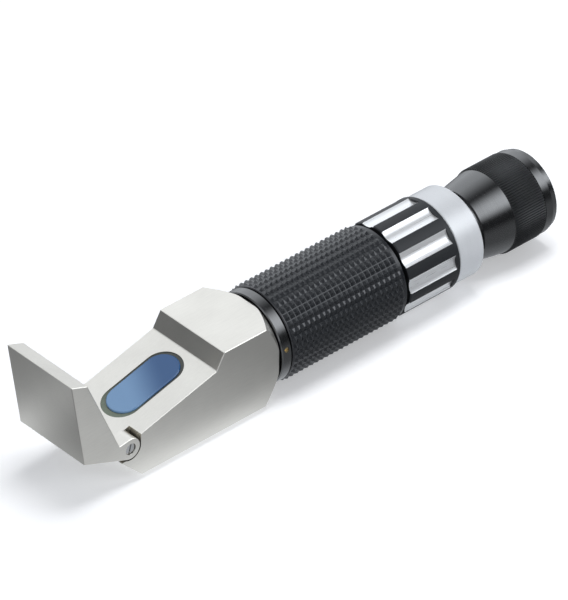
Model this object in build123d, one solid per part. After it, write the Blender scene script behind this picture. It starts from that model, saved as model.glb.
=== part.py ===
from build123d import *
from math import acos, asin, cos, hypot, pi, radians, sin, sqrt, tan
import os

# Hand-held brix refractometer with its flap open.
# Stations run along the tube axis from the nose of the head towards the eye, in mm.
# Heights and radii are counted from the tube axis; Y is across, Z is up.

# Head block
head_size = 31.0            # width and height of the square block
head_length = 67.8          # nose to rear end face
nose_to_hinge = 3.9         # also the radius of the nose round the hinge
hinge_drop = 2.9            # hinge axis below the tube axis
nose_drop = 6.7             # where the 45 degree chin starts, below the tube axis
slope_angle = 14.73         # prism face against the tube axis
slope_over_hinge = 2.8      # prism face above the hinge axis
step_station = 40.6         # foot of the step at the top of the slope
step_angle = 60.2
rear_over = 0.6             # turned rear: its 45 degree cone meets the end face this far outside the block
rear_round = 1.0
edge_break = 0.2            # small bevel on the machined edges
short_edge = 3.0            # edges shorter than this stay sharp
notch_width = 5.65          # each side notch, for one ear of the flap

# Prism, its window and the light path
window_length = 32.0
window_width = 14.2
window_to_step = 2.75
pocket_depth = 12.0
prism_length = 28.5
prism_width = 12.5
prism_setback = 0.4         # prism centre behind window centre
prism_proud = 0.4
prism_depth = 8.0
prism_floor = 5.0           # flat bottom of the prism below the tube axis
prism_bevel = 0.3
seal_top = 0.25
seal_depth = 3.5
duct_radius = 6.0
duct_drop = 1.0
light_wall = 3.0            # tube spigot down to the light path

# Flap
open_angle = 98.7
knuckle_radius = 4.0
hinge_gap = 0.32            # knuckle to notch
nose_gap = 0.3              # nose to the hollow of the flap
lid_gap = 0.15              # closed flap to the prism face
tip_gap = 0.2
flap_rise = 0.5             # closed flap above the top of the block
flap_front_reach = 6.5      # hinge axis to the closed flap's upper front edge
plate_margin = 0.55         # flap plate beyond the prism, each side
plate_recess = 0.45
plate_thickness = 3.0
pane_width = 18.0
pane_height = 7.0
pane_thickness = 1.5
pane_drop = 8.0             # pane centre from the upper front edge
pane_ledge = 1.0            # rim that the pane rests on
tunnel_width = 12.0
tunnel_setback = 2.0        # tunnel floor starts this far behind the notch
glass_play = 0.05

# Hinge screws and washers
screw_head_radius = 1.9
screw_head_height = 1.1
screw_sink = 0.45
shoulder_radius = 1.4
thread_radius = 1.1
thread_depth = 5.0
slot_width = 0.6
slot_depth = 0.55
slot_tilt = 14.0
washer_radius = 3.2
washer_thickness = 0.25
running_play = 0.05
head_play = 0.2

# Tube and the rings on it
tube_radius = 14.5
tube_wall = 3.0
tube_step = 1.5             # rear seat of the tube below its front seat
spigot_step = 2.0
spigot_length = 10.0
fit_play = 0.02
ring_gap = 0.6              # head to front ring
front_ring_length = 4.1
front_ring_wall = 2.0
grip_gap = 0.4
grip_length = 50.5
grip_wall = 2.8
grip_end_wall = 2.1
grip_end_band = 1.3
grip_row_count = 33         # rows of pyramids around the grip
grip_column_count = 14      # pyramids in a row
pyramid_height = 0.6
pyramid_top = 1.3           # flat square left on each pyramid
step_gap = 1.05             # grip to the shoulder of the tube
turn_gap = 0.3              # shoulder to adjusting ring
adjusting_ring_length = 22.35
adjusting_ring_wall = 3.8
flute_count = 11
flute_phase = 40.3          # of the first flute, from the near side upwards
flute_cutter = 5.0
flute_depth = 0.95
flute_band = 1.75           # unfluted band at the ring's rear
side_gap = 0.2              # adjusting ring to index ring
index_ring_length = 10.8
index_ring_wall = 3.3
ring_bevel = 0.35

# Grub screw of the front ring
grub_radius = 0.85
grub_angle = 12.6           # from the near side upwards
grub_sink = 0.2
grub_slot = 0.35

# Objective
objective_setback = 8.2     # behind the head's end face
objective_cell_length = 10.0
objective_lip = 3.0
objective_cell_wall = 1.5
objective_seat = 1.0        # shelf under the lens rim
objective_edge = 3.0
objective_bulge = 0.9
objective_retainer_length = 2.0

# Scale carrier, shifted by the eccentric of the adjusting ring
pins_setback = 13.25        # carrier pins behind the adjusting ring's front
carrier_length = 5.0
carrier_play = 1.1
carrier_wall = 1.4
scale_seat = 1.0            # shelf under the scale
scale_thickness = 1.5
pin_radius = 1.0
pin_socket = 0.8
eccentric_wall = 1.3         # eccentric bore outside the tube's rear seat
eccentricity = 0.6
eccentric_lead = 0.5        # eccentric bore starts this far before the pins
pin_tip_play = 0.25

# Eyepiece
focus_gap = 3.5             # index ring to the front edge of the cone
focus_travel = 1.75         # each way, for half a turn
neck_step = 0.8             # neck below the tube's rear seat
neck_length = 21.4
neck_liner = 1.9            # bore of the tube down to the bore of the neck
neck_spigot = 10.0
cone_front_wall = 0.7       # walls over the neck
cone_rear_wall = 2.8
cone_length = 12.1
cone_bow = 0.12
knurl_length = 13.8
knurl_wall = 3.3
knurl_depth = 0.3
knurl_teeth = 90
knurl_seat_wall = 1.7
rim_length = 5.5
rim_wall = 3.05
rim_band = 3.0
rim_end_wall = 2.4
rim_bevel = 0.3
eye_flare = 1.9             # eye opening outside the bore of the neck
flange_rise = 0.8
flange_thickness = 3.0
flange_to_knurl_end = 5.8   # flange front face before the end of the knurl
flange_play = 0.1
ocular_tuck = 2.1           # front of the ocular tube inside the index ring
ocular_wall = 1.3
ocular_lip = 2.0
ocular_shelf = 1.1
eye_recess = 3.7
lens_edge = 1.6
lens_bulge = 1.0
eye_lens_from_end = 4.8
retainer_wall = 1.3
retainer_length = 0.9
guide_pin_setback = 4.4     # behind the front edge of the cone
guide_pin_radius = 0.8
guide_pin_sink = 0.6         # below the outside of the neck
guide_slot_play = 0.2       # free length of the slot at each end of the travel

# Construction
overcut = 1.0               # cutting shapes reach this far past the faces they cut

# Places worked out from the sizes
half = head_size / 2
rear_radius = half + rear_over
slope = radians(slope_angle)
along = (cos(slope), sin(slope))
hinge_x = nose_to_hinge
hinge_z = -hinge_drop
notch_radius = knuckle_radius + hinge_gap
tongue_half = half - notch_width
ear_inner = tongue_half + washer_thickness
flap_front = hinge_x + flap_front_reach
window_middle = window_to_step + window_length / 2

rear_tube_radius = tube_radius - tube_step
tube_bore = tube_radius - tube_wall
spigot_radius = tube_radius - spigot_step
light_radius = spigot_radius - light_wall
front_ring_radius = tube_radius + front_ring_wall
grip_radius = tube_radius + grip_wall
grip_end_radius = tube_radius + grip_end_wall
grip_valley = grip_radius - pyramid_height
adjusting_ring_radius = rear_tube_radius + adjusting_ring_wall
index_ring_radius = rear_tube_radius + index_ring_wall
objective_radius = tube_bore - objective_cell_wall
objective_aperture = objective_radius - objective_seat
carrier_radius = tube_bore - carrier_play
scale_radius = carrier_radius - carrier_wall
carrier_aperture = scale_radius - scale_seat
pin_root = carrier_radius - pin_socket
eccentric_radius = rear_tube_radius + eccentric_wall
neck_radius = rear_tube_radius - neck_step
neck_bore = tube_bore - neck_liner
cone_front_radius = neck_radius + cone_front_wall
cone_rear_radius = neck_radius + cone_rear_wall
knurl_radius = neck_radius + knurl_wall
knurl_seat = neck_radius + knurl_seat_wall
rim_radius = neck_radius + rim_wall
rim_end_radius = neck_radius + rim_end_wall
eye_radius = neck_bore + eye_flare
flange_radius = neck_radius + flange_rise
ocular_bore = neck_bore - ocular_wall
ocular_aperture = ocular_bore - ocular_shelf
retainer_aperture = ocular_bore - retainer_wall
guide_pin_reach = neck_radius - guide_pin_sink

objective_start = head_length + objective_setback
front_ring_start = head_length + ring_gap
grip_start = front_ring_start + front_ring_length + grip_gap
grip_end = grip_start + grip_length
shoulder_station = grip_end + step_gap
adjusting_start = shoulder_station + turn_gap
adjusting_end = adjusting_start + adjusting_ring_length
carrier_station = adjusting_start + pins_setback
index_start = adjusting_end + side_gap
index_end = index_start + index_ring_length
ocular_front = index_end - ocular_tuck
cone_start = index_end + focus_gap
guide_pin_station = cone_start + guide_pin_setback
knurl_start = cone_start + cone_length
knurl_end = knurl_start + knurl_length
eye_end = knurl_end + rim_length
flange_start = knurl_end - flange_to_knurl_end
ocular_end = eye_end - eye_recess


def slope_height(x, lift=0.0):
    """Height of the prism face, or of a plane lifted off it, at a station."""
    rise = slope_over_hinge + lift + (x - hinge_x) * sin(slope)
    return hinge_z + rise / cos(slope)


def slope_point(distance, lift=0.0):
    """Point at a distance down the slope from the foot of the step."""
    x = step_station - distance * along[0] - lift * along[1]
    z = slope_height(step_station) - distance * along[1] + lift * along[0]
    return x, z


def slope_plane(distance, lift=0.0):
    """Work plane on the prism face, its normal pointing out of the face."""
    x, z = slope_point(distance, lift)
    return Plane(origin=(x, 0, z), x_dir=(along[0], 0, along[1]), z_dir=(-along[1], 0, along[0]))


def meet(p, u, q, v):
    """Crossing point of two lines, each given by a point and a direction."""
    t = ((q[0] - p[0]) * v[1] - (q[1] - p[1]) * v[0]) / (u[0] * v[1] - u[1] * v[0])
    return p[0] + t * u[0], p[1] + t * u[1]


def on_circle(radius, degrees_up):
    """Point round the hinge axis, the angle counted from the tube direction upwards."""
    a = radians(degrees_up)
    return hinge_x + radius * cos(a), hinge_z + radius * sin(a)


def side_face(*edges):
    """Face in the side view from edges drawn in station and height."""
    return Plane.XZ * make_face(edges)


def side_plate(points, low, high):
    """Straight-sided outline in the side view, from one Y to another."""
    face = Plane.XZ * make_face(Polyline(*points, close=True))
    return extrude(face, amount=high - low).moved(Location((0, high, 0)))


def slab(edges, half_width):
    return extrude(side_face(*edges), amount=half_width, both=True)


def turned(*points):
    """Solid of revolution from station and radius points."""
    return revolve(Plane.XZ * make_face(Polyline(*points, close=True)), axis=Axis.X)


def rod(start, end, radius, z=0.0):
    """Plain cylinder along the tube axis."""
    body = Cylinder(radius, end - start, align=(Align.CENTER, Align.CENTER, Align.MIN))
    return Location((start, 0, z), (0, 90, 0)) * body


def plain_ring(start, end, bore, radius):
    return turned((start, bore), (start, radius), (end, radius), (end, bore))


def ring(start, end, bore, radius, bevel):
    """Ring on the tube axis, its outer edges bevelled."""
    return turned(
        (start, bore), (start, radius - bevel), (start + bevel, radius),
        (end - bevel, radius), (end, radius - bevel), (end, bore),
    )


def cross_rod(radius, low, high, x=hinge_x, z=hinge_z):
    """Cylinder across the head, from one Y to another."""
    body = Cylinder(radius, high - low, align=(Align.CENTER, Align.CENTER, Align.MIN))
    return Location((x, low, z), (-90, 0, 0)) * body


def radial_rod(station, degrees_up, radius, inner, outer):
    """Cylinder that points away from the tube axis, its angle counted from the near side."""
    body = Cylinder(radius, outer - inner, align=(Align.CENTER, Align.CENTER, Align.MIN))
    body = body.moved(Location((0, 0, inner)))
    return Location((station, 0, 0), (90 - degrees_up, 0, 0)) * body


def stadium(plane, length, width, depth):
    return extrude(plane * SlotOverall(length, width), amount=depth)


def lens(start, edge, radius, clear, bulge):
    """Biconvex lens with a flat rim outside its clear radius."""
    ball = (clear ** 2 + bulge ** 2) / (2 * bulge)
    sag = ball - sqrt(ball ** 2 - clear ** 2 / 4)
    end = start + edge
    face = side_face(
        Line((start - bulge, 0), (end + bulge, 0)),
        ThreePointArc((end + bulge, 0), (end + bulge - sag, clear / 2), (end, clear)),
        Polyline((end, clear), (end, radius), (start, radius), (start, clear)),
        ThreePointArc((start, clear), (start - bulge + sag, clear / 2), (start - bulge, 0)),
    )
    return revolve(face, axis=Axis.X)


def ledge_angle(radius):
    """Where a circle round the hinge comes down to the ledge over the chin."""
    drop = min(nose_drop - hinge_drop, radius)
    return 180 + asin(drop / radius) * 180 / pi


def head_profile():
    """Side view of the head with its tongue, before the turned rear."""
    foot = (step_station, slope_height(step_station))
    top = (step_station + (half - foot[1]) / tan(radians(step_angle)), half)
    lip = 90 + slope_angle + acos(slope_over_hinge / nose_to_hinge) * 180 / pi
    nose_top = on_circle(nose_to_hinge, lip)
    nose_foot = on_circle(nose_to_hinge, ledge_angle(nose_to_hinge))
    middle = on_circle(nose_to_hinge, (lip + ledge_angle(nose_to_hinge)) / 2)
    return [
        Polyline(
            nose_foot, (0, -nose_drop), (half - nose_drop, -half), (head_length, -half),
            (head_length, half), top, foot, nose_top,
        ),
        ThreePointArc(nose_top, middle, nose_foot),
    ]


def rear_envelope():
    """Turned outside of the head: a 45 degree cone with a rounded edge to the end face."""
    tangent = rear_round * tan(pi / 8)
    wide = head_size
    cone_edge = (head_length - tangent * cos(pi / 4), rear_radius + tangent * sin(pi / 4))
    middle = (
        head_length - rear_round * (1 - cos(pi / 8)),
        rear_radius - tangent + rear_round * sin(pi / 8),
    )
    face_edge = (head_length, rear_radius - tangent)
    cone_top = (head_length + rear_radius - wide, wide)
    face = side_face(
        Polyline((head_length, 0), (-overcut, 0), (-overcut, wide), cone_top, cone_edge),
        ThreePointArc(cone_edge, middle, face_edge),
        Line(face_edge, (head_length, 0)),
    )
    return revolve(face, axis=Axis.X)


def ear_notch():
    """Cut for one ear: wall behind the knuckle, arc under it and a ledge at the nose."""
    arc_end = ledge_angle(notch_radius)
    top = half + overcut
    wall = (hinge_x + notch_radius, hinge_z)
    ledge = on_circle(notch_radius, arc_end)
    face = side_face(
        Polyline(wall, (wall[0], top), (-overcut, top), (-overcut, -nose_drop), ledge),
        ThreePointArc(ledge, on_circle(notch_radius, (arc_end + 360) / 2), wall),
    )
    return extrude(face, amount=notch_width + overcut)


def prism_head():
    body = slab(head_profile(), half) & rear_envelope()
    notch = ear_notch()
    body -= notch.moved(Location((0, -tongue_half, 0)))
    body -= notch.moved(Location((0, half + overcut, 0)))
    body = chamfer(head_edges(body), edge_break)
    pocket = slope_plane(window_middle, overcut)
    body -= stadium(pocket, window_length, window_width, -pocket_depth - overcut)
    inner_end = head_length - spigot_length
    body -= rod(slope_point(window_middle)[0], inner_end, duct_radius, -duct_drop)
    body -= rod(step_station + light_radius, inner_end, light_radius)
    body -= rod(inner_end, head_length, spigot_radius + fit_play)
    for low, high in side_spans(tongue_half - thread_depth, tongue_half):
        body -= cross_rod(thread_radius + fit_play, low, high)
    return body


def head_edges(body):
    """Long straight edges of the block: those across it and those along its sides."""
    notch_wall = hinge_x + notch_radius + edge_break
    across = [e for e in body.edges().filter_by(Axis.Y) if e.length > 2 * tongue_half + edge_break]
    return across + [e for e in side_edges(body) if e.center().X > notch_wall]


def side_edges(body):
    """Straight edges in the two side faces, without the short ones by the knuckle."""
    return [
        e for e in body.edges().filter_by(GeomType.LINE)
        if abs(abs(e.center().Y) - half) < fit_play and e.length > short_edge
    ]


def side_spans(inner, outer):
    """The same stretch of Y on both sides of the middle."""
    return [(-outer, -inner), (inner, outer)]


def prism_plane(lift):
    """Work plane over the middle of the prism, lifted off the prism face."""
    return slope_plane(window_middle - prism_setback, lift)


def measuring_prism():
    glass = stadium(prism_plane(prism_proud), prism_length, prism_width, -prism_depth)
    top = glass.faces().sort_by(lambda f: f.normal_at().dot(Vector(-along[1], 0, along[0])))[-1]
    glass = chamfer(top.edges(), prism_bevel)
    floor = Box(
        2 * head_length, head_size, head_size, align=(Align.CENTER, Align.CENTER, Align.MAX)
    ).moved(Location((0, 0, -prism_floor)))
    return glass - floor


def prism_seal():
    height = seal_depth - seal_top
    outer = stadium(
        slope_plane(window_middle, -seal_top),
        window_length - 2 * fit_play, window_width - 2 * fit_play, -height,
    )
    inner = stadium(
        prism_plane(overcut - seal_top),
        prism_length + 2 * fit_play, prism_width + 2 * fit_play, -height - 2 * overcut,
    )
    return outer - inner


def flap_corners():
    """Closed flap in the side view: its four corners and where its front meets the knuckle."""
    lean = (cos(radians(step_angle)), sin(radians(step_angle)))
    inner_start = (hinge_x + knuckle_radius, slope_height(hinge_x + knuckle_radius, lid_gap))
    tip_line = (step_station - tip_gap * lean[1], slope_height(step_station) + tip_gap * lean[0])
    tip_inner = meet(inner_start, along, tip_line, lean)
    tip_outer = meet((0, half + flap_rise), (1, 0), tip_line, lean)
    front_top = (flap_front, half + flap_rise)
    reach = hypot(front_top[0] - hinge_x, front_top[1] - hinge_z)
    lift = asin((front_top[1] - hinge_z) / reach) + acos(knuckle_radius / reach)
    tangent_angle = lift * 180 / pi
    return inner_start, tip_inner, tip_outer, front_top, tangent_angle


def front_plane():
    """Work plane on the closed flap's slanted front face, at the middle of the pane."""
    front_top, tangent_angle = flap_corners()[3:]
    low = on_circle(knuckle_radius, tangent_angle)
    length = hypot(front_top[0] - low[0], front_top[1] - low[1])
    down = ((low[0] - front_top[0]) / length, (low[1] - front_top[1]) / length)
    middle = (front_top[0] + pane_drop * down[0], 0, front_top[1] + pane_drop * down[1])
    return Plane(origin=middle, x_dir=(0, 1, 0), z_dir=(down[1], 0, -down[0]))


def flap_profile():
    inner_start, tip_inner, tip_outer, front_top, tangent_angle = flap_corners()
    tangent = on_circle(knuckle_radius, tangent_angle)
    knuckle_side = on_circle(knuckle_radius, 360)
    return [
        Polyline(knuckle_side, inner_start, tip_inner, tip_outer, front_top, tangent),
        ThreePointArc(tangent, on_circle(knuckle_radius, (tangent_angle + 360) / 2), knuckle_side),
    ]


def plate_length():
    return prism_length + 2 * plate_margin


def plate_width():
    return prism_width + 2 * plate_margin


def light_tunnel():
    """Way of the light inside the flap, from the pane to the back of the plate."""
    lift = lid_gap + plate_recess + plate_thickness
    pane = front_plane()
    inward = pane.z_dir * -pane_thickness
    down = pane.y_dir * (pane_height / 2 - pane_ledge)
    upper = pane.origin + inward - down
    lower = pane.origin + inward + down
    if upper.Z < lower.Z:
        upper, lower = lower, upper
    near = hinge_x + notch_radius + tunnel_setback
    far = slope_point(window_middle)[0]
    points = [
        (upper.X, upper.Z), (lower.X, lower.Z), (near, slope_height(near, lift - overcut)),
        (far, slope_height(far, lift - overcut)), (far, slope_height(far, lift + overcut)),
    ]
    return side_plate(points, -tunnel_width / 2, tunnel_width / 2)


def flap_hollow():
    """Middle of the flap, cut clear of the tongue between its two ears."""
    near = flap_corners()[0][0] + overcut
    below = [
        (near, slope_height(near, lid_gap)), (-head_size, slope_height(-head_size, lid_gap)),
        (-head_size, -head_size), (near, -head_size),
    ]
    cut = side_plate(below, -ear_inner, ear_inner)
    return cut + cross_rod(nose_to_hinge + nose_gap, -ear_inner, ear_inner)


def flap_body():
    body = slab(flap_profile(), half)
    body = chamfer(flap_edges(body), edge_break)
    body -= flap_hollow()
    recess = lid_gap + plate_recess + plate_thickness
    body -= stadium(prism_plane(0), plate_length(), plate_width(), recess)
    body -= light_tunnel()
    body -= extrude(front_plane() * Rectangle(pane_width, pane_height), amount=-pane_thickness)
    for low, high in side_spans(ear_inner - overcut, half + overcut):
        body -= cross_rod(shoulder_radius + running_play, low, high)
    seat = half - screw_sink - screw_head_height
    for low, high in side_spans(seat, half + overcut):
        body -= cross_rod(screw_head_radius + head_play, low, high)
    return body


def flap_edges(body):
    """Edges of the flap's outline, without the short ones at the knuckle."""
    knuckle = hinge_x + knuckle_radius + edge_break
    return [e for e in body.edges().filter_by(Axis.Y) if e.center().X > knuckle] + side_edges(body)


def flap_plate():
    return stadium(
        prism_plane(lid_gap + plate_recess),
        plate_length() - 2 * glass_play, plate_width() - 2 * glass_play,
        plate_thickness - glass_play,
    )


def flap_window():
    pane = Rectangle(pane_width - 2 * glass_play, pane_height - 2 * glass_play)
    return extrude(front_plane() * pane, amount=-pane_thickness)


def opened(shape):
    """Turn a piece of the closed flap back to where the photograph shows it."""
    return shape.rotate(Axis((hinge_x, 0, hinge_z), (0, 1, 0)), -open_angle)


def hinge_screw():
    """Near screw: slotted head, shoulder through the ear and thread in the tongue."""
    top = half - screw_sink
    seat = top - screw_head_height
    body = cross_rod(screw_head_radius, -top, -seat)
    body += cross_rod(shoulder_radius, -seat, -tongue_half)
    body += cross_rod(thread_radius, -tongue_half, -tongue_half + thread_depth)
    slot = Box(slot_width, 2 * slot_depth, 3 * screw_head_radius)
    return body - Location((hinge_x, -top, hinge_z), (0, slot_tilt, 0)) * slot


def hinge_screws():
    near = hinge_screw()
    return Compound([near, mirror(near, Plane.XZ)])


def hinge_washers():
    spans = side_spans(tongue_half, ear_inner)
    bore = shoulder_radius + running_play
    return Compound([
        cross_rod(washer_radius, low, high) - cross_rod(bore, low - overcut, high + overcut)
        for low, high in spans
    ])


def grub_station():
    return front_ring_start + front_ring_length / 2


def front_ring():
    end = front_ring_start + front_ring_length
    body = ring(front_ring_start, end, tube_radius + fit_play, front_ring_radius, ring_bevel)
    hole = grub_radius + running_play
    low, high = tube_radius - overcut, front_ring_radius + overcut
    return body - radial_rod(grub_station(), grub_angle, hole, low, high)


def ring_grub_screw():
    top = front_ring_radius - grub_sink
    body = radial_rod(grub_station(), grub_angle, grub_radius, tube_radius + running_play, top)
    slot = Box(3 * grub_radius, grub_slot, 2 * grub_slot).moved(Location((0, 0, top)))
    return body - Location((grub_station(), 0, 0), (90 - grub_angle, 0, 0)) * slot


def barrel_tube():
    """Stepped tube: spigot in the head, grip seat, then the seat of the two rings."""
    body = turned(
        (head_length - spigot_length, tube_bore), (head_length - spigot_length, spigot_radius),
        (head_length, spigot_radius), (head_length, tube_radius),
        (shoulder_station, tube_radius), (shoulder_station, rear_tube_radius),
        (index_end, rear_tube_radius), (index_end, tube_bore),
    )
    for side in (90, -90):
        body -= radial_rod(carrier_station, side, pin_radius + running_play, overcut, tube_radius)
    return body


def polygon(station, points):
    """Flat face across the tube axis, its points as radius and angle."""
    corners = [(radius * cos(a), radius * sin(a)) for radius, a in points]
    return (Plane.YZ * make_face(Polyline(*corners, close=True))).moved(Location((station, 0, 0)))


def grip_row_angle(i):
    """Middle of a row of pyramids; the first one lies along the bottom."""
    return 2 * pi * i / grip_row_count - pi / 2


def grip_rows():
    """Lengthwise rows of the checkering: flat tops with V grooves between them."""
    corner = hypot(grip_radius, pyramid_top / 2)
    half_top = asin(pyramid_top / 2 / corner)
    points = []
    for i in range(grip_row_count):
        middle = grip_row_angle(i)
        points += [(corner, middle - half_top), (corner, middle + half_top)]
        points.append((grip_valley, grip_row_angle(i + 0.5)))
    return extrude(polygon(grip_start, points), amount=grip_length)


def grip_columns():
    """Grooves across the rows: a ruled loft between polygons, whose peaks the flat tops cut off."""
    first = grip_start + grip_end_band
    pitch = (grip_length - 2 * grip_end_band) / grip_column_count
    peak = grip_valley + pyramid_height * pitch / (pitch - pyramid_top)
    corners = [grip_row_angle(i + 0.5) for i in range(grip_row_count)]
    sections = []
    for i in range(2 * grip_column_count + 1):
        radius = peak if i % 2 else grip_valley
        sections.append(polygon(first + i * pitch / 2, [(radius, a) for a in corners]))
    return loft(sections, ruled=True)


def rubber_grip():
    """Sleeve with plain bands at both ends and rows of blunt pyramids between them."""
    body = ring(grip_start, grip_end, 0, grip_end_radius, ring_bevel)
    body += grip_rows() & grip_columns()
    return body - rod(grip_start - overcut, grip_end + overcut, tube_radius + fit_play)


def adjusting_ring():
    """Ring with hollow-ground flutes outside and the eccentric bore inside."""
    body = ring(
        adjusting_start, adjusting_end, rear_tube_radius + running_play,
        adjusting_ring_radius, ring_bevel,
    )
    cutter_centre = adjusting_ring_radius - flute_depth + flute_cutter
    fluted = adjusting_end - flute_band
    cutter = rod(adjusting_start - overcut, fluted, flute_cutter, cutter_centre)
    for i in range(flute_count):
        turn = flute_phase - 90 + i * 360 / flute_count
        body -= cutter.rotate(Axis.X, -turn)
    eccentric_start = carrier_station - pin_radius - eccentric_lead
    eccentric = rod(eccentric_start, adjusting_end + overcut, eccentric_radius)
    return body - eccentric.moved(Location((0, eccentricity, 0)))


def index_ring():
    return ring(index_start, index_end, rear_tube_radius + fit_play, index_ring_radius, ring_bevel)


def objective_cell():
    end = objective_start + objective_cell_length
    seat = objective_start + objective_lip
    outside = tube_bore - fit_play
    return turned(
        (objective_start, objective_aperture), (objective_start, outside), (end, outside),
        (end, objective_radius + fit_play), (seat, objective_radius + fit_play),
        (seat, objective_aperture),
    )


def objective_lens():
    seat = objective_start + objective_lip
    return lens(seat, objective_edge, objective_radius, objective_aperture, objective_bulge)


def objective_retainer():
    start = objective_start + objective_lip + objective_edge + fit_play
    return plain_ring(start, start + objective_retainer_length, objective_aperture, objective_radius)


def scale_carrier():
    start = carrier_station - carrier_length / 2
    end = start + carrier_length
    shelf = carrier_station + pin_radius
    body = turned(
        (start, carrier_aperture), (start, carrier_radius), (end, carrier_radius),
        (end, scale_radius + fit_play), (shelf, scale_radius + fit_play), (shelf, carrier_aperture),
    )
    for side in (90, -90):
        body -= radial_rod(carrier_station, side, pin_radius + fit_play, pin_root, tube_bore)
    return body


def scale_disc():
    start = carrier_station + pin_radius
    return rod(start, start + scale_thickness, scale_radius)


def carrier_pins():
    tip = eccentric_radius - pin_tip_play
    return Compound([
        radial_rod(carrier_station, side, pin_radius, pin_root + fit_play, tip) for side in (90, -90)
    ])


def focus_sleeve():
    """Neck behind the index ring, with the slot that keeps the ocular tube from turning."""
    start = index_end - neck_spigot
    end = index_end + neck_length
    body = turned(
        (start, neck_bore), (start, tube_bore - fit_play), (index_end, tube_bore - fit_play),
        (index_end, neck_radius), (end, neck_radius), (end, neck_bore),
    )
    reach = guide_pin_radius + focus_travel + guide_slot_play
    slot = Box(2 * reach, 2 * (guide_pin_radius + running_play), head_size)
    slot = slot.moved(Location((guide_pin_station, 0, head_size / 2)))
    return body - slot


def ocular_tube():
    """Lens tube that slides in the neck, with the flange that the shell turns on."""
    outside = neck_bore - running_play
    seat = ocular_front + ocular_lip
    body = turned(
        (ocular_front, ocular_aperture), (ocular_front, outside), (flange_start, outside),
        (flange_start, flange_radius), (flange_start + flange_thickness, flange_radius),
        (flange_start + flange_thickness, outside), (ocular_end, outside),
        (ocular_end, ocular_bore), (seat, ocular_bore), (seat, ocular_aperture),
    )
    hole = guide_pin_radius + fit_play
    return body - radial_rod(guide_pin_station, 90, hole, ocular_bore - overcut, head_size)


def guide_pin():
    return radial_rod(guide_pin_station, 90, guide_pin_radius, ocular_bore + fit_play, guide_pin_reach)


def ocular_lens_radius():
    return ocular_bore - fit_play


def eye_lens_station():
    return ocular_end - eye_lens_from_end


def field_lens():
    seat = ocular_front + ocular_lip
    return lens(seat, lens_edge, ocular_lens_radius(), retainer_aperture, lens_bulge)


def lens_spacer():
    start = ocular_front + ocular_lip + lens_edge
    return plain_ring(start, eye_lens_station(), retainer_aperture, ocular_lens_radius())


def eye_lens():
    edge = eye_lens_from_end - retainer_length
    return lens(eye_lens_station(), edge, ocular_lens_radius(), retainer_aperture, lens_bulge / 2)


def eye_lens_retainer():
    return plain_ring(ocular_end - retainer_length, ocular_end, retainer_aperture, ocular_lens_radius())


def eyepiece_shell():
    """Cone in front, seat of the knurled ring behind, pocket for the ocular flange inside."""
    bore = neck_radius + running_play
    pocket = flange_radius + running_play
    shoulder = flange_start - flange_play
    bow = (
        cone_start + cone_length / 2,
        (cone_front_radius + cone_rear_radius) / 2 + cone_bow,
    )
    face = side_face(
        Line((cone_start, bore), (cone_start, cone_front_radius)),
        ThreePointArc((cone_start, cone_front_radius), bow, (knurl_start, cone_rear_radius)),
        Polyline(
            (knurl_start, cone_rear_radius), (knurl_start, knurl_seat), (knurl_end, knurl_seat),
            (knurl_end, pocket), (shoulder, pocket), (shoulder, bore), (cone_start, bore),
        ),
    )
    return revolve(face, axis=Axis.X)


def knurl_section(station, drop):
    """Zigzag outline of the knurl, its teeth lowered by a drop."""
    points = []
    for i in range(2 * knurl_teeth):
        radius = knurl_radius - drop - knurl_depth * (i % 2)
        points.append((radius, pi * i / knurl_teeth))
    return polygon(station, points)


def knurled_ring():
    """Straight knurl, its teeth bevelled at both ends."""
    body = loft([
        knurl_section(knurl_start, knurl_depth),
        knurl_section(knurl_start + knurl_depth, 0),
        knurl_section(knurl_end - knurl_depth, 0),
        knurl_section(knurl_end, knurl_depth),
    ], ruled=True)
    return body - rod(knurl_start - overcut, knurl_end + overcut, knurl_seat + fit_play)


def eye_rim():
    """End ring: a spigot that holds the flange, a band for an eyecup, and the eye opening."""
    spigot_start = flange_start + flange_thickness + flange_play
    spigot = flange_radius + running_play - fit_play
    return turned(
        (spigot_start, neck_bore), (spigot_start, spigot), (knurl_end, spigot),
        (knurl_end, rim_radius), (knurl_end + rim_band, rim_radius),
        (eye_end - rim_bevel, rim_end_radius), (eye_end, rim_end_radius - rim_bevel),
        (eye_end, eye_radius), (ocular_end, neck_bore),
    )


def build_all():
    """Every piece by its name, still placed by station and height."""
    makers = [
        prism_head, measuring_prism, prism_seal, hinge_screws, hinge_washers,
        front_ring, ring_grub_screw, barrel_tube, rubber_grip, adjusting_ring, index_ring,
        objective_cell, objective_lens, objective_retainer,
        scale_carrier, scale_disc, carrier_pins,
        focus_sleeve, ocular_tube, guide_pin, field_lens, lens_spacer, eye_lens, eye_lens_retainer,
        eyepiece_shell, knurled_ring, eye_rim,
    ]
    pieces = {make.__name__: make() for make in makers}
    for make in (flap_body, flap_plate, flap_window):
        pieces[make.__name__] = opened(make())
    return pieces


def write_all(pieces):
    """Stand the part on the table: origin under the middle of its length."""
    front = pieces["flap_body"].bounding_box().min.X
    middle = (front + eye_end) / 2
    to_frame = Location((-middle, 0, grip_radius))
    os.makedirs("parts", exist_ok=True)
    for name, shape in pieces.items():
        export_step(shape.moved(to_frame), f"parts/{name}.step")
    print("middle station", round(middle, 4), "hinge x", round(hinge_x - middle, 4))
    print("hinge z", round(grip_radius + hinge_z, 4))


write_all(build_all())
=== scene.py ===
from math import acos, cos, pi, radians, sin, sqrt

import bmesh
import bpy
from mathutils import Matrix, Vector


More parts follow.
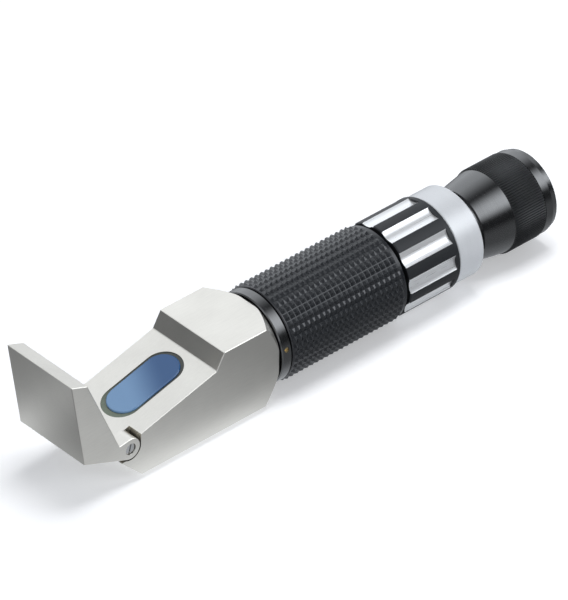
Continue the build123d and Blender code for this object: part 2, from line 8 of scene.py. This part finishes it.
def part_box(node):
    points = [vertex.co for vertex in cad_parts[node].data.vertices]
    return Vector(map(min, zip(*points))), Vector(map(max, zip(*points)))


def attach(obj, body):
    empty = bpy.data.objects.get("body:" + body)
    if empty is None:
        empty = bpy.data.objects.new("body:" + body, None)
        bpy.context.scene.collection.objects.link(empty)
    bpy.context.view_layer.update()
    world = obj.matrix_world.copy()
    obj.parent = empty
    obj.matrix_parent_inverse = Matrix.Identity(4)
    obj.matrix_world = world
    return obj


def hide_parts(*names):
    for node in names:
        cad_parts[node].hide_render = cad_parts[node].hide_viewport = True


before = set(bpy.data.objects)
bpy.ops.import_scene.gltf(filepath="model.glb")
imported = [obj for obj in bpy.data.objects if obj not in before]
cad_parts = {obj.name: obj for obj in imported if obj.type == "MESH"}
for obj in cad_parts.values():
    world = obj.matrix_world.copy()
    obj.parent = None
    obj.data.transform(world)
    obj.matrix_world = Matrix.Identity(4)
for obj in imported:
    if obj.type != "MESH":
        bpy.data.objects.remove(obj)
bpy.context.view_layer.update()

MM = 0.001

# Camera: far away with a long lens, nearly parallel lines as in the photograph
CAMERA_PLACE = (-1.4116403, -1.52657, 1.57475)
CAMERA_TURN = -42.714
CAMERA_RISE = 36.712
CAMERA_ROLL = 0.618
CAMERA_LENS = 480.0

# Rubber grip
GRIP_ROWS = 39
GRIP_COLUMNS = 22
GRIP_FRONT_BAND = 0.5 * MM
GRIP_REAR_BAND = 1.4 * MM
GRIP_VALLEY = 0.68 * MM
GRIP_STEPS = ((0.055, 0), (0.48, 1), (0.52, 1), (0.945, 0))
GRIP_FIRST_VALLEY = radians(42.0)
GRIP_BORE = 14.52 * MM
GRIP_END_BEVEL = 0.3 * MM

# Fluted ring
FLUTES = 11
FLUTE_PHASE = radians(40.3)
FLUTE_CUTTER = 5.0 * MM
FLUTE_DEPTH = 1.0 * MM
FLUTE_BAND = 1.75 * MM
RING_BEVEL = 0.35 * MM
RING_BORE = 13.05 * MM
HOLLOW_STEPS = 20
LAND_STEPS = 10

# Knurled ring
KNURL_TEETH = 108
KNURL_DEPTH = 0.28 * MM
KNURL_BORE = 13.92 * MM
KNURL_BEVEL = 0.3 * MM
TOOTH_STEPS = 8

# Studio: what reflections see. RISE and FALL are degrees round the tube axis, from the near side
# upwards; AHEAD, END_SPAN and FRONT_SPAN run along X of the unit direction
DOME_RADIUS = 2.0
DOME_SEGMENTS = 48
DOME_RINGS = 12
REFLECTED_TINT = (0.96, 1.0, 1.05, 1)
DOME_BASE = 0.05
STRIP_LEVEL = 2.2
STRIP_RISE = (18.0, 44.0)
STRIP_FALL = (52.0, 90.0)
STRIP_AHEAD = (-0.1, 0.3)
BACK_LEVEL = 1.15
BACK_RISE = (84.0, 138.0)
END_SPAN = (0.62, 0.85)
END_LEVEL = 0.6
FRONT_LEVEL = 0.85
FRONT_SPAN = (-0.45, -0.05)
DARK_DIRECTION = (-0.80, 0.59, 0.17)
DARK_SPAN = (0.3, 0.8)
DARK_LEVEL = 0.1

# Floor: paper colour, its glow for the camera, and the painted levels at which reflections see it
FLOOR_COLOUR = (0.84, 0.85, 0.87, 1)
FLOOR_GLOW = 0.27
FLOOR_NEAR = (0.98, 0.45)
FLOOR_FAR = (0.58, 0.27)
FLOOR_BEHIND = 0.8
FLOOR_FADE = 0.15
# painted shade: a dim patch in the floor's glow as reflections see it
DIM_PLACE = (-116 * MM, 0.0, 0.0)
DIM_SPAN = (12 * MM, 32 * MM)
DIM_LEVEL = 0.5
NOSE_SPAN = (-122 * MM, -102 * MM)
NOSE_LEVEL = 0.4
FAR_SIDE_SHIFT = 14 * MM
CLOSE_SPAN = (14 * MM, 30 * MM)
NEAR_SPAN = (-40 * MM, 20 * MM)
FAR_SPAN = (-75 * MM, 0.0)
FADE_SPAN = (60 * MM, 260 * MM)
BEHIND_SPAN = (50 * MM, 160 * MM)
BEHIND_ALONG = (-100 * MM, 0.0)
FLOOR_HALF = 6.0

# Lamps: name, place, size and power
LAMPS = (
    ("main", (0.05, -0.02, 1.0), 0.45, 6.0),
    ("fill", (0.30, -0.80, 0.45), 0.5, 3.0),
)
AMBIENT_COLOUR = (0.91, 0.94, 1.0, 1)
AMBIENT_LEVEL = 0.4


def make_camera():
    az, el, roll = (radians(a) for a in (CAMERA_TURN, CAMERA_RISE, CAMERA_ROLL))
    back = Vector((sin(az) * cos(el), -cos(az) * cos(el), sin(el)))
    right = (-back).cross(Vector((0, 0, 1))).normalized()
    up = right.cross(-back)
    right_rolled = right * cos(roll) + up * sin(roll)
    up_rolled = up * cos(roll) - right * sin(roll)
    data = bpy.data.cameras.new("camera")
    data.lens = CAMERA_LENS
    data.sensor_width = 36.0
    data.clip_start = 0.1
    data.clip_end = 100.0
    camera = bpy.data.objects.new("camera", data)
    turn = Matrix((right_rolled, up_rolled, back)).transposed()
    camera.matrix_world = Matrix.Translation(CAMERA_PLACE) @ turn.to_4x4()
    bpy.context.scene.collection.objects.link(camera)
    bpy.context.scene.camera = camera


# Shader nodes
class Shader:
    """Small wrapper that adds nodes to one material and links them."""

    def __init__(self, name):
        self.material = bpy.data.materials.new(name)
        self.material.use_nodes = True
        self.tree = self.material.node_tree
        self.surface = self.tree.nodes["Principled BSDF"]

    def add(self, kind, **settings):
        node = self.tree.nodes.new(kind)
        for key, value in settings.items():
            setattr(node, key, value)
        return node

    def feed(self, node, socket, source):
        if isinstance(source, (int, float, tuple)):
            node.inputs[socket].default_value = source
        else:
            self.tree.links.new(source, node.inputs[socket])

    def set(self, **values):
        for key, value in values.items():
            self.feed(self.surface, key.replace("_", " "), value)

    def place(self, scale=(1, 1, 1)):
        coords = self.add("ShaderNodeTexCoord")
        mapping = self.add("ShaderNodeMapping")
        self.feed(mapping, "Vector", coords.outputs["Object"])
        self.feed(mapping, "Scale", scale)
        return mapping.outputs["Vector"]

    def split(self, vector):
        node = self.add("ShaderNodeSeparateXYZ")
        self.feed(node, 0, vector)
        return node.outputs["X"], node.outputs["Y"], node.outputs["Z"]

    def noise(self, vector, scale, detail=3.0, rough=0.5):
        node = self.add("ShaderNodeTexNoise")
        self.feed(node, "Vector", vector)
        self.feed(node, "Scale", scale)
        self.feed(node, "Detail", detail)
        self.feed(node, "Roughness", rough)
        return node.outputs["Fac"]

    def span(self, source, low, high, to_low, to_high, smooth=False):
        node = self.add("ShaderNodeMapRange")
        if smooth:
            node.interpolation_type = "SMOOTHSTEP"
        self.feed(node, "Value", source)
        for key, value in (("From Min", low), ("From Max", high), ("To Min", to_low), ("To Max", to_high)):
            self.feed(node, key, value)
        return node.outputs["Result"]

    def math(self, operation, a, b=0.0):
        node = self.add("ShaderNodeMath", operation=operation)
        self.feed(node, 0, a)
        self.feed(node, 1, b)
        return node.outputs["Value"]

    def mix(self, factor, a, b):
        node = self.add("ShaderNodeMix", data_type="RGBA")
        self.feed(node, 0, factor)
        self.feed(node, 6, a)
        self.feed(node, 7, b)
        return node.outputs[2]

    def bump(self, height, strength, distance):
        node = self.add("ShaderNodeBump")
        self.feed(node, "Height", height)
        self.feed(node, "Strength", strength)
        self.feed(node, "Distance", distance)
        return node.outputs["Normal"]


# Materials
def satin_metal():
    """Bead-blasted and plated metal: fine grain with faint drawn lines along X."""
    s = Shader("satin_metal")
    grain = s.noise(s.place(), 2600.0, 4.0, 0.6)
    drawn = s.noise(s.place((0.08, 1, 1)), 2200.0, 3.0, 0.6)
    cloud = s.noise(s.place(), 60.0, 3.0, 0.5)
    shade = s.math("ADD", s.math("MULTIPLY", cloud, 0.6), s.math("MULTIPLY", drawn, 0.4))
    s.set(Metallic=1.0)
    shade = s.span(shade, 0.35, 0.65, 0.0, 1.0)
    s.set(Base_Color=s.mix(shade, (0.76, 0.735, 0.68, 1), (0.83, 0.805, 0.745, 1)))
    s.set(Roughness=s.span(grain, 0.3, 0.7, 0.28, 0.36))
    s.set(Normal=s.bump(s.math("ADD", grain, s.math("MULTIPLY", drawn, 0.5)), 0.16, 0.00002))
    return s.material


def black_coat(name, turned_scale, low, high, rough, index):
    """Black anodised metal; the coat shines more than paint. Turned pieces have fine rings."""
    s = Shader(name)
    marks = s.noise(s.place((1, turned_scale, turned_scale)), 2500.0, 2.0, 0.5)
    fine = s.noise(s.place(), 3000.0, 3.0, 0.6)
    s.set(Base_Color=s.mix(fine, low, high))
    s.set(Roughness=s.span(marks, 0.3, 0.7, *rough), IOR=index)
    s.set(Normal=s.bump(marks, 0.04, 0.00001))
    return s.material


def grip_rubber():
    s = Shader("grip_rubber")
    fine = s.noise(s.place(), 2200.0, 4.0, 0.6)
    s.set(Base_Color=s.mix(fine, (0.008, 0.0092, 0.011, 1), (0.015, 0.017, 0.0205, 1)))
    s.set(Roughness=s.span(fine, 0.3, 0.7, 0.19, 0.28), IOR=1.6)
    s.set(Normal=s.bump(fine, 0.2, 0.00003))
    return s.material


def silver_anodised():
    s = Shader("silver_anodised")
    fine = s.noise(s.place(), 5000.0, 3.0, 0.6)
    cloud = s.noise(s.place((1, 0.3, 0.3)), 400.0, 3.0, 0.5)
    s.set(Base_Color=s.mix(cloud, (0.52, 0.54, 0.565, 1), (0.57, 0.59, 0.615, 1)))
    s.set(Roughness=s.span(fine, 0.3, 0.7, 0.27, 0.31), IOR=2.3)
    return s.material


def bright_flute():
    s = Shader("bright_flute")
    streak = s.noise(s.place((0.02, 1, 1)), 2500.0, 3.0, 0.6)
    s.set(Metallic=0.7, Base_Color=s.mix(streak, (0.84, 0.855, 0.87, 1), (0.92, 0.925, 0.93, 1)))
    s.set(Roughness=s.span(streak, 0.3, 0.7, 0.26, 0.36))
    return s.material


def blue_prism():
    """Blue-coated glass with painted light: the base colour is painted paler towards the nose, standing for
    light that comes up through it.
    """
    s = Shader("blue_prism")
    x, y, _ = s.split(s.place())
    low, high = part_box("measuring_prism")
    middle = (low.x + high.x) / 2
    edge = s.math("ADD", x, s.math("MULTIPLY", y, -0.5))
    along = s.span(edge, middle - 8 * MM, middle + 7 * MM, 0.0, 1.0, smooth=True)
    # painted light: pale blue at the nose fading to dark blue at the rear along a slanted edge
    s.set(Base_Color=s.mix(along, (0.14, 0.26, 0.44, 1), (0.018, 0.075, 0.20, 1)))
    fine = s.noise(s.place(), 2500.0, 3.0, 0.6)
    s.set(Roughness=s.span(fine, 0.3, 0.7, 0.06, 0.10), IOR=1.55)
    return s.material


def seal_putty():
    s = Shader("seal_putty")
    low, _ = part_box("prism_seal")
    x, _, _ = s.split(s.place())
    front = s.span(x, low.x, low.x + 14 * MM, 1.0, 0.0, smooth=True)
    fine = s.noise(s.place(), 1500.0, 3.0, 0.6)
    dark = s.mix(fine, (0.035, 0.038, 0.034, 1), (0.06, 0.066, 0.058, 1))
    olive = s.mix(fine, (0.10, 0.125, 0.10, 1), (0.17, 0.20, 0.15, 1))
    s.set(Base_Color=s.mix(front, dark, olive), Roughness=0.5)
    return s.material


def frosted_glass():
    s = Shader("frosted_glass")
    fine = s.noise(s.place(), 2500.0, 3.0, 0.6)
    s.set(Base_Color=(0.72, 0.76, 0.78, 1), IOR=1.5, Transmission_Weight=0.35)
    s.set(Roughness=s.span(fine, 0.3, 0.7, 0.4, 0.55))
    return s.material


def clear_glass():
    s = Shader("clear_glass")
    fine = s.noise(s.place(), 2500.0, 3.0, 0.6)
    s.set(Base_Color=s.mix(fine, (0.88, 0.94, 0.96, 1), (0.92, 0.96, 0.98, 1)))
    s.set(Roughness=s.span(fine, 0.3, 0.7, 0.015, 0.03), IOR=1.52, Transmission_Weight=0.9)
    return s.material


def plain_metal(name, low, high, rough):
    s = Shader(name)
    fine = s.noise(s.place(), 3000.0, 3.0, 0.6)
    s.set(Metallic=1.0, Base_Color=s.mix(fine, low, high))
    s.set(Roughness=s.span(fine, 0.3, 0.7, *rough))
    return s.material


# Mesh helpers
def add_piece(name, mesh, body, node, materials):
    for material in materials:
        mesh.materials.append(material)
    piece = bpy.data.objects.new(name, mesh)
    bpy.context.scene.collection.objects.link(piece)
    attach(piece, body)
    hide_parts(node)


def sleeve_mesh(name, angles, rows, degrees, pick=None):
    """Closed sleeve round the tube axis; a row is a station and its radius at each angle."""
    points, faces, marks = [], [], []
    count = len(angles)
    for x, radius_at in rows:
        for j, a in enumerate(angles):
            r = radius_at(j)
            points.append((x, -r * cos(a), AXIS_Z + r * sin(a)))
    for i in range(len(rows)):
        k = (i + 1) % len(rows)
        for j in range(count):
            n = (j + 1) % count
            faces.append((i * count + j, k * count + j, k * count + n, i * count + n))
            marks.append(pick(i, j) if pick else 0)
    mesh = bpy.data.meshes.new(name)
    mesh.from_pydata(points, [], faces)
    for polygon, mark in zip(mesh.polygons, marks):
        polygon.material_index = mark
    bm = bmesh.new()
    bm.from_mesh(mesh)
    bmesh.ops.remove_doubles(bm, verts=bm.verts, dist=1e-7)
    bmesh.ops.recalc_face_normals(bm, faces=bm.faces)
    bm.to_mesh(mesh)
    bm.free()
    mesh.shade_smooth()
    mesh.set_sharp_from_angle(angle=radians(degrees))
    return mesh


def ring_size(node):
    low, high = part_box(node)
    return low.x, high.x, (high.z - low.z) / 2


# Pieces that stand for CAD nodes
def fluted_ring():
    """Black ring with bright hollow-ground flutes, open at the front and ending at a rear band."""
    start, end, radius = ring_size("adjusting_ring")
    centre = radius - FLUTE_DEPTH + FLUTE_CUTTER
    edge = acos((radius ** 2 + centre ** 2 - FLUTE_CUTTER ** 2) / (2 * radius * centre))
    pitch = 2 * pi / FLUTES
    angles, depths = [], []
    for i in range(FLUTES):
        middle = FLUTE_PHASE + i * pitch
        for k in range(HOLLOW_STEPS + 1):
            a = edge * (2 * k / HOLLOW_STEPS - 1)
            angles.append(middle + a)
            floor = centre * cos(a) - sqrt(FLUTE_CUTTER ** 2 - (centre * sin(a)) ** 2)
            depths.append(max(radius - floor, 0.0))
        for k in range(1, LAND_STEPS):
            angles.append(middle + edge + (pitch - 2 * edge) * k / LAND_STEPS)
            depths.append(0.0)
    count = HOLLOW_STEPS + LAND_STEPS
    fluted = lambda drop: lambda j: radius - max(drop, depths[j])
    plain = lambda r: lambda j: r
    rows = [
        (start, plain(RING_BORE)), (start, fluted(RING_BEVEL)), (start + RING_BEVEL, fluted(0.0)),
        (end - FLUTE_BAND, fluted(0.0)), (end - FLUTE_BAND, plain(radius)),
        (end - RING_BEVEL, plain(radius)), (end, plain(radius - RING_BEVEL)), (end, plain(RING_BORE)),
    ]
    bright = lambda i, j: 1 if i in (1, 2) and j % count < HOLLOW_STEPS else 0
    mesh = sleeve_mesh("fluted_ring_mesh", angles, rows, 30.0, bright)
    add_piece("fluted_ring", mesh, "zero_ring", "adjusting_ring", [land_black, flute])


def checkered_grip():
    """Rubber sleeve with sharp square pyramids, narrow flats between them and plain end bands."""
    start, end, radius = ring_size("rubber_grip")
    valley = radius - GRIP_VALLEY
    first, last = start + GRIP_FRONT_BAND, end - GRIP_REAR_BAND
    pitch = (last - first) / GRIP_COLUMNS
    xs = [(first, 0)]
    xs += [(first + (i + s) * pitch, h) for i in range(GRIP_COLUMNS) for s, h in GRIP_STEPS]
    xs.append((last, 0))
    turn = 2 * pi / GRIP_ROWS
    turns = [(GRIP_FIRST_VALLEY + (i + s) * turn, h) for i in range(GRIP_ROWS) for s, h in GRIP_STEPS]
    angles = [a for a, h in turns]
    plain = lambda r: lambda j: r
    peaks = lambda j: radius if turns[j][1] else valley
    bevel = GRIP_END_BEVEL
    rows = [(start, plain(GRIP_BORE)), (start, plain(valley - bevel)), (start + bevel, plain(valley))]
    rows += [(x, peaks if h else plain(valley)) for x, h in xs]
    rows += [(end - bevel, plain(valley)), (end, plain(valley - bevel)), (end, plain(GRIP_BORE))]
    mesh = sleeve_mesh("checkered_grip_mesh", angles, rows, 20.0)
    add_piece("checkered_grip", mesh, "barrel", "rubber_grip", [rubber])


def fine_knurl():
    """Straight knurl with rounded teeth that run out at both bevelled ends."""
    start, end, radius = ring_size("knurled_ring")
    steps = TOOTH_STEPS
    total = KNURL_TEETH * steps
    angles = [2 * pi * j / total for j in range(total)]
    groove = [0.5 - 0.5 * cos(2 * pi * j / steps) for j in range(steps)]
    plain = lambda r: lambda j: r
    teeth = lambda drop: lambda j: radius - drop - KNURL_DEPTH * groove[j % steps]
    bevel = KNURL_BEVEL
    rows = [
        (start, plain(KNURL_BORE)), (start, teeth(bevel)), (start + bevel, teeth(0.0)),
        (end - bevel, teeth(0.0)), (end, teeth(bevel)), (end, plain(KNURL_BORE)),
    ]
    mesh = sleeve_mesh("fine_knurl_mesh", angles, rows, 60.0)
    add_piece("fine_knurl", mesh, "eyepiece", "knurled_ring", [knurl_black])


# Stage
def add_stage(name, points, faces, material):
    mesh = bpy.data.meshes.new(name)
    mesh.from_pydata(points, [], faces)
    mesh.materials.append(material)
    obj = bpy.data.objects.new(name, mesh)
    bpy.context.scene.collection.objects.link(obj)
    return obj


def floor_reflected(s):
    """Painted levels of the glow that reflections see in place of the paper: bright by the object, with
    painted dim patches in front and far off.
    """
    spot = s.add("ShaderNodeVectorMath", operation="DISTANCE")
    s.feed(spot, 0, s.place())
    s.feed(spot, 1, DIM_PLACE)
    dim = s.span(spot.outputs["Value"], *DIM_SPAN, DIM_LEVEL, 1.0, smooth=True)
    x, y, _ = s.split(s.place())
    front = s.span(x, *NOSE_SPAN, NOSE_LEVEL, 1.0, smooth=True)
    away = s.math("MAXIMUM", s.math("MULTIPLY", y, -1.0), s.math("SUBTRACT", y, FAR_SIDE_SHIFT))
    close = s.span(away, *CLOSE_SPAN, 1.0, 0.0, smooth=True)
    near = s.math("MULTIPLY", close, s.span(x, *NEAR_SPAN, *FLOOR_NEAR))
    rest = s.math("MULTIPLY", s.math("SUBTRACT", 1.0, close), s.span(x, *FAR_SPAN, *FLOOR_FAR))
    fade = s.span(away, *FADE_SPAN, 0.0, FLOOR_FADE)
    behind = s.span(y, *BEHIND_SPAN, 0.0, FLOOR_BEHIND)
    behind = s.math("MULTIPLY", behind, s.span(x, *BEHIND_ALONG, 0.0, 1.0))
    level = s.math("ADD", s.math("SUBTRACT", s.math("ADD", near, rest), fade), behind)
    return s.math("MULTIPLY", s.math("MULTIPLY", level, dim), front)


def make_floor():
    """White paper for the camera and clear glass: it takes the shadow. Metal reflections see a glow with
    painted levels instead, including painted shade.
    """
    s = Shader("floor_paper")
    s.tree.nodes.remove(s.surface)
    path = s.add("ShaderNodeLightPath")
    paper = s.add("ShaderNodeBsdfDiffuse")
    s.feed(paper, "Color", FLOOR_COLOUR)
    lift = s.add("ShaderNodeEmission")
    clear = s.math("MAXIMUM", path.outputs["Is Camera Ray"], path.outputs["Is Transmission Ray"])
    s.feed(lift, "Strength", s.math("MULTIPLY", clear, FLOOR_GLOW))
    both = s.add("ShaderNodeAddShader")
    s.tree.links.new(paper.outputs[0], both.inputs[0])
    s.tree.links.new(lift.outputs[0], both.inputs[1])
    # painted reflection: glossy rays see this glow with painted levels, not the lit paper
    seen = s.add("ShaderNodeEmission")
    s.feed(seen, "Color", REFLECTED_TINT)
    s.feed(seen, "Strength", floor_reflected(s))
    mix = s.add("ShaderNodeMixShader")
    s.feed(mix, 0, path.outputs["Is Glossy Ray"])
    s.tree.links.new(both.outputs[0], mix.inputs[1])
    s.tree.links.new(seen.outputs[0], mix.inputs[2])
    s.tree.links.new(mix.outputs[0], s.tree.nodes["Material Output"].inputs["Surface"])
    h = FLOOR_HALF
    add_stage("floor", [(-h, -h, 0), (h, -h, 0), (h, h, 0), (-h, h, 0)], [(0, 1, 2, 3)], s.material)


def make_world():
    """Plain light for the object; the camera and clear glass see white."""
    world = bpy.data.worlds.new("studio")
    bpy.context.scene.world = world
    world.use_nodes = True
    tree = world.node_tree
    tree.nodes.clear()
    path = tree.nodes.new("ShaderNodeLightPath")
    seen = tree.nodes.new("ShaderNodeMath")
    seen.operation = "MAXIMUM"
    tree.links.new(path.outputs["Is Camera Ray"], seen.inputs[0])
    through = tree.nodes.new("ShaderNodeMath")
    through.operation = "MAXIMUM"
    tree.links.new(path.outputs["Is Glossy Ray"], through.inputs[0])
    tree.links.new(path.outputs["Is Transmission Ray"], through.inputs[1])
    tree.links.new(through.outputs[0], seen.inputs[1])
    plain = tree.nodes.new("ShaderNodeBackground")
    plain.inputs["Color"].default_value = AMBIENT_COLOUR
    plain.inputs["Strength"].default_value = AMBIENT_LEVEL
    white = tree.nodes.new("ShaderNodeBackground")
    white.inputs["Color"].default_value = (1, 1, 1, 1)
    mix = tree.nodes.new("ShaderNodeMixShader")
    tree.links.new(seen.outputs[0], mix.inputs[0])
    tree.links.new(plain.outputs[0], mix.inputs[1])
    tree.links.new(white.outputs[0], mix.inputs[2])
    out = tree.nodes.new("ShaderNodeOutputWorld")
    tree.links.new(mix.outputs[0], out.inputs["Surface"])


def dome_material():
    """Studio seen in reflections: strip light at the near side, dark overhead, bright wall behind."""
    s = Shader("studio_dome")
    s.tree.nodes.remove(s.surface)
    direction = s.add("ShaderNodeVectorMath", operation="NORMALIZE")
    s.feed(direction, 0, s.place())
    x, y, z = s.split(direction.outputs["Vector"])
    turn = s.math("ARCTAN2", z, s.math("MULTIPLY", y, -1.0))
    strip_up = s.span(turn, *(radians(a) for a in STRIP_RISE), 0.0, STRIP_LEVEL, smooth=True)
    strip_down = s.span(turn, *(radians(a) for a in STRIP_FALL), 1.0, 0.0, smooth=True)
    strip_ahead = s.span(x, *STRIP_AHEAD, 0.0, 1.0, smooth=True)
    strip = s.math("MULTIPLY", s.math("MULTIPLY", strip_up, strip_down), strip_ahead)
    high_back = DOME_BASE + BACK_LEVEL
    back = s.span(turn, *(radians(a) for a in BACK_RISE), DOME_BASE, high_back, smooth=True)
    end = s.span(x, *END_SPAN, 1.0, END_LEVEL, smooth=True)
    front = s.span(x, *FRONT_SPAN, FRONT_LEVEL, 0.0, smooth=True)
    level = s.math("MAXIMUM", s.math("MULTIPLY", back, end), front)
    apart = s.add("ShaderNodeVectorMath", operation="DISTANCE")
    s.feed(apart, 0, direction.outputs["Vector"])
    s.feed(apart, 1, DARK_DIRECTION)
    dark = s.span(apart.outputs["Value"], *DARK_SPAN, DARK_LEVEL, 1.0, smooth=True)
    level = s.math("MULTIPLY", level, dark)
    level = s.math("ADD", level, strip)
    glow = s.add("ShaderNodeEmission")
    s.feed(glow, "Color", REFLECTED_TINT)
    s.feed(glow, "Strength", level)
    s.tree.links.new(glow.outputs[0], s.tree.nodes["Material Output"].inputs["Surface"])
    return s.material


def make_dome():
    segments, rings = DOME_SEGMENTS, DOME_RINGS
    points, faces = [], []
    for i in range(rings + 1):
        rise = pi / 2 * i / rings
        for j in range(segments):
            a = 2 * pi * j / segments
            flat = DOME_RADIUS * cos(rise)
            points.append((flat * cos(a), flat * sin(a), DOME_RADIUS * sin(rise)))
    for i in range(rings):
        for j in range(segments):
            n = (j + 1) % segments
            a, b = i * segments, (i + 1) * segments
            faces.append((a + j, a + n, b + n, b + j))
    dome = add_stage("studio_dome", points, faces, dome_material())
    dome.visible_camera = False
    dome.visible_diffuse = False
    dome.visible_shadow = False
    dome.visible_transmission = False


def softbox(name, place, size, power):
    data = bpy.data.lights.new(name, "AREA")
    data.shape = "SQUARE"
    data.size = size
    data.energy = power
    lamp = bpy.data.objects.new(name, data)
    lamp.location = place
    lamp.rotation_euler = (-Vector(place)).to_track_quat("-Z", "Y").to_euler()
    lamp.visible_glossy = False
    bpy.context.scene.collection.objects.link(lamp)


def dress_nodes():
    """Give every CAD node its material."""
    steel = plain_metal("steel", (0.5, 0.5, 0.5, 1), (0.62, 0.62, 0.62, 1), (0.25, 0.38))
    brass = plain_metal("brass", (0.62, 0.46, 0.22, 1), (0.74, 0.58, 0.30, 1), (0.22, 0.35))
    glass, frosted = clear_glass(), frosted_glass()
    looks = {
        metal: ["prism_head", "flap_body"], blue_prism(): ["measuring_prism"], seal_putty(): ["prism_seal"],
        frosted: ["flap_plate", "flap_window"], steel: ["hinge_screws", "carrier_pins", "guide_pin"],
        brass: ["ring_grub_screw"], rubber: ["rubber_grip"], silver: ["index_ring"],
        turned: ["front_ring", "focus_sleeve", "ocular_tube", "eyepiece_shell", "eye_rim"],
        glass: ["objective_lens", "scale_disc", "field_lens", "eye_lens"],
        land_black: ["adjusting_ring"], knurl_black: ["knurled_ring"],
        inner_black: [
            "hinge_washers", "barrel_tube", "objective_cell", "objective_retainer",
            "scale_carrier", "lens_spacer", "eye_lens_retainer",
        ],
    }
    for material, names in looks.items():
        for name in names:
            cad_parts[name].data.materials.clear()
            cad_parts[name].data.materials.append(material)


low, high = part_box("index_ring")
AXIS_Z = (low.z + high.z) / 2

make_camera()
metal = satin_metal()
turned = black_coat(
    "turned_black", 0.02, (0.0018, 0.002, 0.0024, 1), (0.003, 0.0034, 0.004, 1), (0.15, 0.22), 2.3
)
land_black = black_coat(
    "land_black", 1.0, (0.008, 0.009, 0.0105, 1), (0.016, 0.018, 0.021, 1), (0.44, 0.54), 1.5
)
knurl_black = black_coat(
    "knurl_black", 1.0, (0.003, 0.0034, 0.004, 1), (0.007, 0.0078, 0.009, 1), (0.28, 0.38), 1.5
)
inner_black = black_coat(
    "inner_black", 1.0, (0.006, 0.0063, 0.007, 1), (0.011, 0.0115, 0.013, 1), (0.4, 0.5), 1.5
)
rubber = grip_rubber()
silver = silver_anodised()
flute = bright_flute()
dress_nodes()
fluted_ring()
checkered_grip()
fine_knurl()
make_floor()
make_world()
make_dome()
for lamp in LAMPS:
    softbox(*lamp)
bpy.context.scene.view_settings.view_transform = "Standard"
